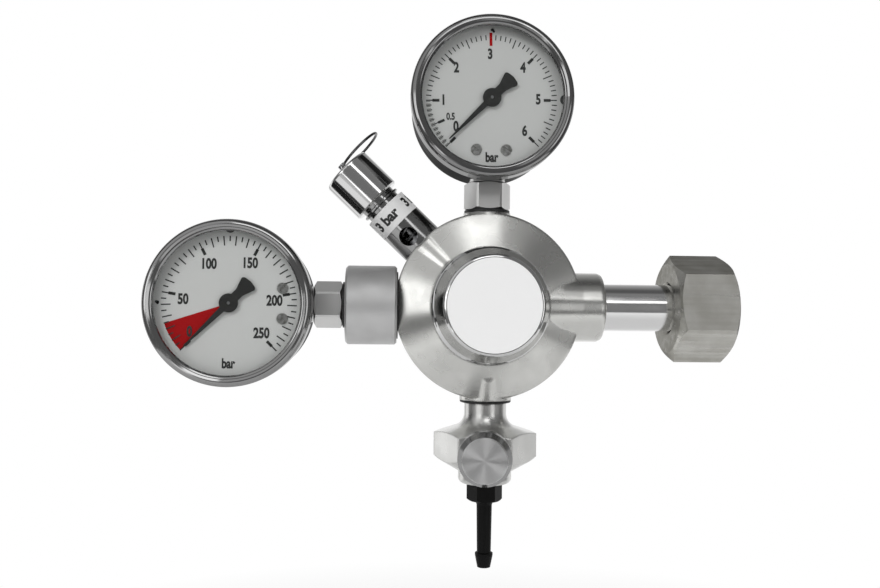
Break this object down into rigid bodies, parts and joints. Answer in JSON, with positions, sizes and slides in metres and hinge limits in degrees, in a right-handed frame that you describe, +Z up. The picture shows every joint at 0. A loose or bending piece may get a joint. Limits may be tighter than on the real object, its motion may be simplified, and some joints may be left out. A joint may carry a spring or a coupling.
{
  "type": "aquarium carbon dioxide regulator",
  "caption": "Gas pressure regulator with two dial gauges, relief valve with pull ring, needle valve, hose barb and hexagonal union nut on a round body.",
  "frame": {"origin": "centre of the inlet washer's sealing face, where the cylinder valve seats", "axes": "+X leaves the body along the inlet, +Z up towards the outlet gauge, -Y towards the dials and the knob"},
  "size_m": [0.1931, 0.0563, 0.1827],
  "materials": {
    "nickel": "turned and polished nickel plate",
    "chrome": "bright polished plate",
    "nickel_turned": "fine turned nickel plate",
    "nickel_satin": "satin nickel plate",
    "label": "printed label film",
    "brass": "machined brass",
    "bronze": "drawn bronze",
    "spring_steel": "drawn stainless steel",
    "rubber": "moulded rubber",
    "washer_plastic": "moulded sealing plastic",
    "barb_plastic": "moulded nylon",
    "dial_enamel": "matt white enamel",
    "pointer_enamel": "matt black enamel",
    "gauge_glass": "clear flat window"
  },
  "bodies": {
    "root": {"regulator_body": "nickel", "spring_bonnet": "chrome", "label_disc": "label", "adjusting_screw": "brass", "spring_button": "brass", "range_spring": "spring_steel", "diaphragm": "rubber", "valve_seat": "brass", "poppet_spring": "spring_steel", "rear_plug": "nickel", "rear_plug_seal": "rubber", "inlet_stem": "chrome", "inlet_filter": "bronze", "inlet_washer": "washer_plastic", "gauge_adapter": "nickel_satin", "adapter_seal": "rubber", "outlet_gauge_case": "chrome", "outlet_gauge_bezel": "chrome", "outlet_gauge_window": "gauge_glass", "outlet_gauge_dial": "dial_enamel", "outlet_gauge_socket": "nickel_turned", "outlet_gauge_bourdon_tube": "bronze", "outlet_gauge_movement_frame": "brass", "outlet_gauge_hairspring": "bronze", "outlet_gauge_seal": "rubber", "cylinder_gauge_case": "chrome", "cylinder_gauge_bezel": "chrome", "cylinder_gauge_window": "gauge_glass", "cylinder_gauge_dial": "dial_enamel", "cylinder_gauge_socket": "nickel_turned", "cylinder_gauge_bourdon_tube": "bronze", "cylinder_gauge_movement_frame": "brass", "cylinder_gauge_hairspring": "bronze", "cylinder_gauge_seal": "rubber", "dial_screws": "spring_steel", "relief_body": "nickel_turned", "relief_band": "label", "relief_cap": "chrome", "relief_spring": "spring_steel", "needle_valve_body": "nickel_turned", "outlet_seal": "rubber", "needle_gland": "chrome", "spindle_seal": "rubber", "hose_barb": "barb_plastic"},
    "union_nut": {"union_nut": "nickel_turned"},
    "diaphragm_plate": {"diaphragm_plate": "brass"},
    "poppet": {"poppet": "brass"},
    "relief_stem": {"relief_stem": "brass"},
    "pull_ring": {"pull_ring": "spring_steel"},
    "needle_spindle": {"needle_spindle": "spring_steel"},
    "needle_knob": {"needle_knob": "nickel_turned"},
    "outlet_pointer": {"outlet_gauge_pinion": "brass", "outlet_gauge_pointer": "pointer_enamel"},
    "outlet_sector": {"outlet_gauge_sector_gear": "brass"},
    "outlet_link": {"outlet_gauge_link": "brass"},
    "cylinder_pointer": {"cylinder_gauge_pinion": "brass", "cylinder_gauge_pointer": "pointer_enamel"},
    "cylinder_sector": {"cylinder_gauge_sector_gear": "brass"},
    "cylinder_link": {"cylinder_gauge_link": "brass"}
  },
  "joints": [
    {"name": "nut_spin", "type": "hinge", "parent": "root", "child": "union_nut", "pos_m": [0, 0, 0], "axis": [1, 0, 0], "continuous": true},
    {"name": "diaphragm_travel", "type": "slide", "parent": "root", "child": "diaphragm_plate", "axis": [0, 1, 0], "range_m": [0, 0.0008], "deforming": ["range_spring", "diaphragm"]},
    {"name": "poppet_travel", "type": "slide", "parent": "root", "child": "poppet", "axis": [0, 1, 0], "range_m": [0, 0.0008], "stiffness_N_per_m": 600, "springref_m": -0.002, "deforming": ["poppet_spring"]},
    {"name": "relief_lift", "type": "slide", "parent": "root", "child": "relief_stem", "axis": [-0.7254, 0, 0.6884], "range_m": [0, 0.0016], "stiffness_N_per_m": 1000, "springref_m": -0.004, "deforming": ["relief_spring"]},
    {"name": "ring_swing", "type": "hinge", "parent": "relief_stem", "child": "pull_ring", "pos_m": [-0.12146, 0, 0.04646], "axis": [0, -1, 0], "range_deg": [0, 180]},
    {"name": "needle_travel", "type": "slide", "parent": "root", "child": "needle_spindle", "axis": [-0.1045, -0.9945, 0], "range_m": [0, 0.001]},
    {"name": "knob_turn", "type": "hinge", "parent": "needle_spindle", "child": "needle_knob", "pos_m": [-0.0725, 0, -0.048], "axis": [-0.1045, -0.9945, 0], "range_deg": [0, 720]},
    {"name": "outlet_pointer_turn", "type": "hinge", "parent": "root", "child": "outlet_pointer", "pos_m": [-0.0725, 0, 0.0682], "axis": [0, 1, 0], "range_deg": [0, 270], "deforming": ["outlet_gauge_hairspring", "outlet_gauge_bourdon_tube"]},
    {"name": "outlet_sector_turn", "type": "hinge", "parent": "root", "child": "outlet_sector", "pos_m": [-0.0725, 0, 0.0547], "axis": [0, -1, 0], "range_deg": [0, 33.75]},
    {"name": "outlet_link_swing", "type": "hinge", "parent": "outlet_sector", "child": "outlet_link", "pos_m": [-0.07366, 0, 0.05087], "axis": [0, 1, 0], "range_deg": [0, 33.75]},
    {"name": "cylinder_pointer_turn", "type": "hinge", "parent": "root", "child": "cylinder_pointer", "pos_m": [-0.1566, 0, 0], "axis": [0, 1, 0], "range_deg": [0, 270], "deforming": ["cylinder_gauge_hairspring", "cylinder_gauge_bourdon_tube"]},
    {"name": "cylinder_sector_turn", "type": "hinge", "parent": "root", "child": "cylinder_sector", "pos_m": [-0.1431, 0, 0], "axis": [0, -1, 0], "range_deg": [0, 33.75]},
    {"name": "cylinder_link_swing", "type": "hinge", "parent": "cylinder_sector", "child": "cylinder_link", "pos_m": [-0.13927, 0, -0.00116], "axis": [0, 1, 0], "range_deg": [0, 33.75]}
  ],
  "couplings": [
    {"joint": "poppet_travel", "follows": "diaphragm_travel", "ratio": 1},
    {"joint": "knob_turn", "follows": "needle_travel", "rad_per_m": 12566},
    {"joint": "outlet_sector_turn", "follows": "outlet_pointer_turn", "ratio": 0.125},
    {"joint": "outlet_link_swing", "follows": "outlet_pointer_turn", "ratio": 0.125},
    {"joint": "cylinder_sector_turn", "follows": "cylinder_pointer_turn", "ratio": 0.125},
    {"joint": "cylinder_link_swing", "follows": "cylinder_pointer_turn", "ratio": 0.125}
  ]
}
